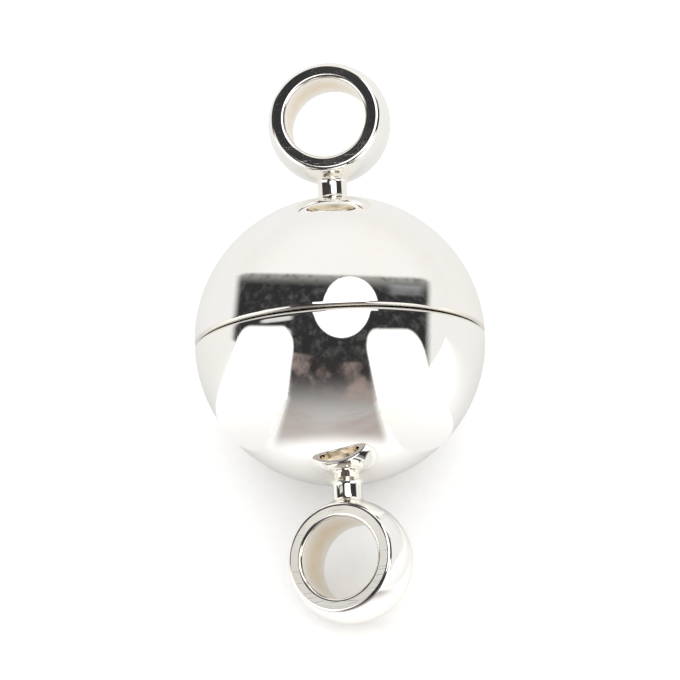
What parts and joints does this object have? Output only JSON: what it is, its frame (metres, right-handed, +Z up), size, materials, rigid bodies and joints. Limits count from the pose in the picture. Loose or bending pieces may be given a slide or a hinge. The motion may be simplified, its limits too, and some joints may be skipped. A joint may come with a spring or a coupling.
{
  "type": "magnetic ball clasp",
  "caption": "Silver-plated ball clasp for a necklace or bracelet: two hemispheres with drilled loops, held together by disc magnets.",
  "frame": {"origin": "middle of the clasp's footprint, on the surface that it lies on", "axes": "+Y from the near loop to the far loop along the surface, +Z up; the clasp's own axis lies in the YZ plane and rises 24 degrees towards the far loop"},
  "size_m": [0.008, 0.0148, 0.0079],
  "materials": {
    "silver_plate": "polished silver plate on turned brass",
    "nickel_plate": "dull nickel plate on a sintered magnet"
  },
  "bodies": {
    "near": {"near_half": "silver_plate", "near_magnet": "nickel_plate"},
    "pulled_magnet": {"far_magnet": "nickel_plate"},
    "far": {"far_half": "silver_plate"}
  },
  "joints": [
    {"name": "pull_apart", "type": "slide", "parent": "near", "child": "pulled_magnet", "axis": [0, 0.9151, 0.4033], "range_m": [0, 0.008]},
    {"name": "swivel", "type": "hinge", "parent": "pulled_magnet", "child": "far", "pos_m": [0, 0, 0.00396], "axis": [0, 0.9151, 0.4033], "continuous": true}
  ]
}
